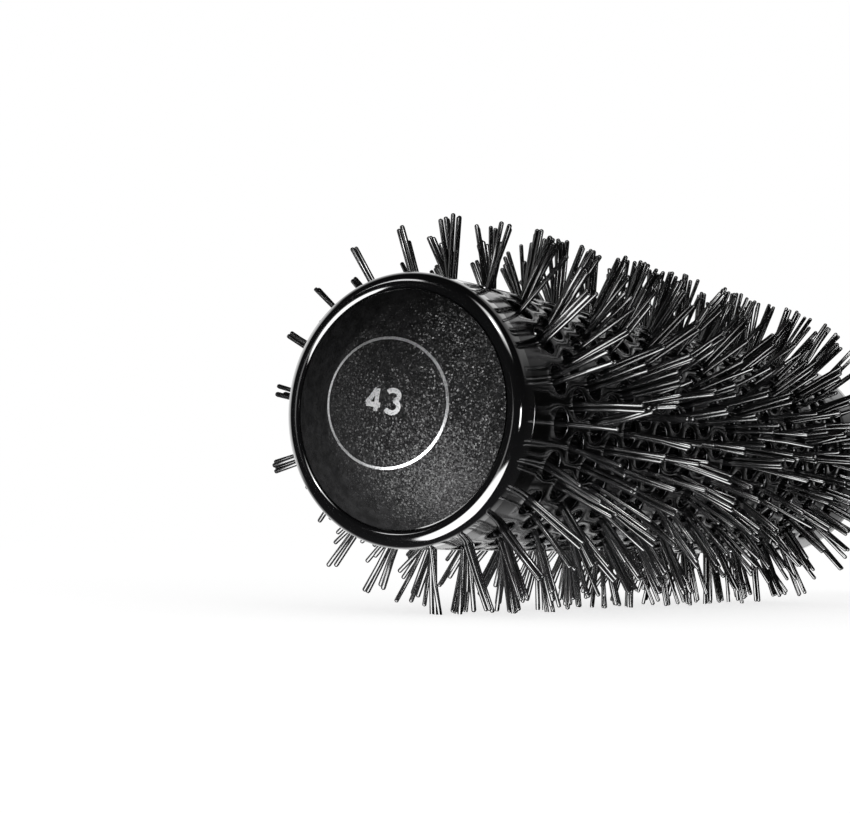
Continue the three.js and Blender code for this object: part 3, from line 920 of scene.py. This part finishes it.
def make_handle(gloss, satin, soft):
    pieces = (
        ("collar", "rear_collar", collar_outline(), gloss, "black_plastic"),
        ("handle_body", "handle_core", core_outline(), satin, "satin_plastic"),
        ("grip_sleeve", "handle_grip", grip_outline(), soft, "soft_touch"),
        ("end_cap", "handle_end_cap", end_cap_outline(), gloss, "black_plastic"),
    )
    for name, node, outline, material, slot in pieces:
        piece = revolve(name, outline, [material], segments=144)
        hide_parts(node)


# Floor, light and world

FLOOR_REACH = 3.0
FLOOR_GLOW = 0.75
FLOOR_SHADE = 0.5
LIGHT_ABOVE_FLOOR = 0.001

# The backdrop as the gloss mirrors it: its middle as turn from the camera and rise, and the
# angles from there at which it starts and is fully white
BACKDROP_MIDDLE = (-168, 0)
BACKDROP_EDGE = (64, 40)
FRONT_GLOW = 0.015
FILL = 0.5

# Softboxes that the gloss mirrors. Each has four corners as turn from the camera and rise, in
# degrees, then the width of its soft edge and its brightness.
SOFTBOXES = (
    (((-59.5, 3.5), (9, -21), (3, -58), (-58, -58)), 2.5, 13.0),
    (((-58.5, 8), (-46, 7), (-44, -2), (-58.5, -2)), 1.5, 1.5),
    (((-22, 34), (12, 36), (14, 62), (-24, 60)), 12, 8.5),
    (((-18, 40), (-5, 42), (-5, 50), (-18, 48)), 2, 50.0),
    (((-67.5, 14), (-62.5, 14), (-62.5, 28), (-68.5, 28)), 1.5, 8.0),
    (((27, -5), (41, -5), (41, 6), (27, 6)), 1.5, 24.0),
    (((-144, -14), (-99, -10), (-99, 26), (-144, 31)), 10, 2.3),
    (((105, 16), (150, 16), (150, 55), (105, 50)), 14, 0.4),
)


def make_stage():
    """A floor that the gloss doesn't see. It glows towards the camera, so its shadow is faint."""
    size, z = FLOOR_REACH, cad_box[0].z
    corners = [(-size, -size, z), (size, -size, z), (size, size, z), (-size, size, z)]
    mesh = bpy.data.meshes.new("floor")
    mesh.from_pydata(corners, [], [(0, 1, 2, 3)])
    floor = bpy.data.objects.new("floor", mesh)
    bpy.context.scene.collection.objects.link(floor)
    material, tree, shader = new_material("floor_white", (FLOOR_SHADE,) * 3, 0, 0.9)
    shader.inputs["Specular IOR Level"].default_value = 0
    path = add_node(tree, "ShaderNodeLightPath")
    shader.inputs["Emission Color"].default_value = (1, 1, 1, 1)
    glow = remap(tree, path.outputs["Is Camera Ray"], 0, 1, 0, FLOOR_GLOW)
    tree.links.new(glow, shader.inputs["Emission Strength"])
    mesh.materials.append(material)
    floor.visible_glossy = False


def along_axis(tree, direction, axis):
    node = add_node(tree, "ShaderNodeVectorMath", operation="DOT_PRODUCT")
    tree.links.new(direction, node.inputs[0])
    node.inputs[1].default_value = axis
    return node.outputs["Value"]


def ramp(tree, value, low, high):
    node = add_node(tree, "ShaderNodeMapRange", interpolation_type="SMOOTHSTEP")
    node.inputs["From Min"].default_value = low
    node.inputs["From Max"].default_value = high
    tree.links.new(value, node.inputs["Value"])
    return node.outputs["Result"]


def softbox(tree, direction, corners, edge):
    """1 inside the four corners and 0 outside. Each side is a plane through the object."""
    middle = sum(corners, Vector((0, 0, 0)))
    inside = None
    for first, second in zip(corners, corners[1:] + corners[:1]):
        plane = first.cross(second).normalized()
        if plane.dot(middle) < 0:
            plane = -plane
        reach = math.sin(math.radians(edge) / 2)
        side = ramp(tree, along_axis(tree, direction, plane), -reach, reach)
        inside = side if inside is None else math_node(tree, "MULTIPLY", inside, side)
    return inside


def make_world(right, up, forward):
    """White behind the object, dark on the camera's side, with the softboxes for the gloss."""
    world = bpy.data.worlds.new("studio")
    world.use_nodes = True
    world.cycles.sampling_method = "NONE"
    tree = world.node_tree
    direction = add_node(tree, "ShaderNodeTexCoord").outputs["Generated"]

    def heading(turn, rise):
        t, r = math.radians(turn), math.radians(rise)
        return (right * math.sin(t) - forward * math.cos(t)) * math.cos(r) + up * math.sin(r)

    behind = along_axis(tree, direction, heading(*BACKDROP_MIDDLE))
    start, full = (math.cos(math.radians(angle)) for angle in BACKDROP_EDGE)
    glossy = remap(tree, ramp(tree, behind, start, full), 0, 1, FRONT_GLOW, 1)
    for corners, edge, strength in SOFTBOXES:
        box = softbox(tree, direction, [heading(*corner) for corner in corners], edge)
        glossy = math_node(tree, "MAXIMUM", glossy, math_node(tree, "MULTIPLY", box, strength))
    path = add_node(tree, "ShaderNodeLightPath")
    seen = math_node(tree, "MAXIMUM", path.outputs["Is Camera Ray"], path.outputs["Is Transmission Ray"])
    plain = remap(tree, seen, 0, 1, FILL, 1)
    mix = add_node(tree, "ShaderNodeMix", data_type="FLOAT")
    tree.links.new(path.outputs["Is Glossy Ray"], mix.inputs["Factor"])
    tree.links.new(plain, mix.inputs[2])
    tree.links.new(glossy, mix.inputs[3])
    background = tree.nodes["Background"]
    background.inputs["Color"].default_value = (1, 1, 1, 1)
    tree.links.new(mix.outputs[0], background.inputs["Strength"])
    bpy.context.scene.world = world


def area_light(name, where, target, width, height, power):
    data = bpy.data.lights.new(name, "AREA")
    data.shape = "RECTANGLE"
    data.size = width
    data.size_y = height
    data.energy = power
    light = bpy.data.objects.new(name, data)
    bpy.context.scene.collection.objects.link(light)
    light.location = where
    direction = Vector(target) - Vector(where)
    light.rotation_euler = direction.to_track_quat("-Z", "Y").to_euler()
    light.visible_glossy = False
    light.visible_camera = False


# The scene

bpy.context.scene.view_settings.view_transform = "Standard"
right, up, forward = make_camera()

cap_face = sparkling_grain(
    "cap_face", (0.0042, 0.0042, 0.0043), roughness=0.22, grain_mm=0.2, tilt=0.54
)
cap_gloss = gloss_plastic("cap_gloss", (0.0012, 0.0012, 0.0013), roughness=0.07)
ink = printed_ink()
coating = barrel_coating()
edge_metal = worn_metal("hole_edge", (0.06, 0.06, 0.062), smooth=0.22, rough=0.4, marks_scale=3000)
filament = nylon()
wire = worn_metal("drawn_wire", (0.55, 0.55, 0.56), smooth=0.25, rough=0.45, marks_scale=2600)
pin_metal = worn_metal("pin_metal", (0.1, 0.1, 0.103), smooth=0.2, rough=0.36, marks_scale=3400)
satin = grained_plastic(
    "satin_plastic", (0.02, 0.02, 0.021), roughness=0.42, grain_mm=0.3, strength=0.4
)
soft = grained_plastic(
    "soft_touch", (0.018, 0.018, 0.019), roughness=0.62, grain_mm=0.35, strength=0.5
)

make_cap(cap_face, cap_gloss)
make_print(ink)
make_barrel(coating, edge_metal)
rng = random.Random(43)
for section in range(BRISTLE_SECTIONS):
    number = section + 1
    first = math.ceil(RING_COUNT * section / BRISTLE_SECTIONS)
    count = math.ceil(RING_COUNT * number / BRISTLE_SECTIONS) - first
    make_bristles(f"tufts_{number}", f"bristle_section_{number}", first, count, filament, rng)

for name, node, start_angle in (("wire_a", "stem_wire_a", 0), ("wire_b", "stem_wire_b", math.pi)):
    make_wire(name, node, start_angle, wire)
for number in (1, 2, 3):
    make_pin(f"pin_{number}", f"fixing_pin_{number}", pin_metal)
make_handle(cap_gloss, satin, soft)

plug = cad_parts["rear_plug"]
plug.data.materials.clear()
plug.data.materials.append(satin)

make_stage()
make_world(right, up, forward)

tip = Vector((0, RIM_FRONT, 0))
key = tip + right * 0.45 + up * 0.1 - forward * 0.7
area_light("key", key, tip, width=0.5, height=0.5, power=3)
table = tip + Vector((-0.02, -0.03, 0))
table.z = cad_box[0].z + LIGHT_ABOVE_FLOOR
area_light("table_glow", table, table + Vector((0, 0, 1)), width=0.16, height=0.2, power=0.9)
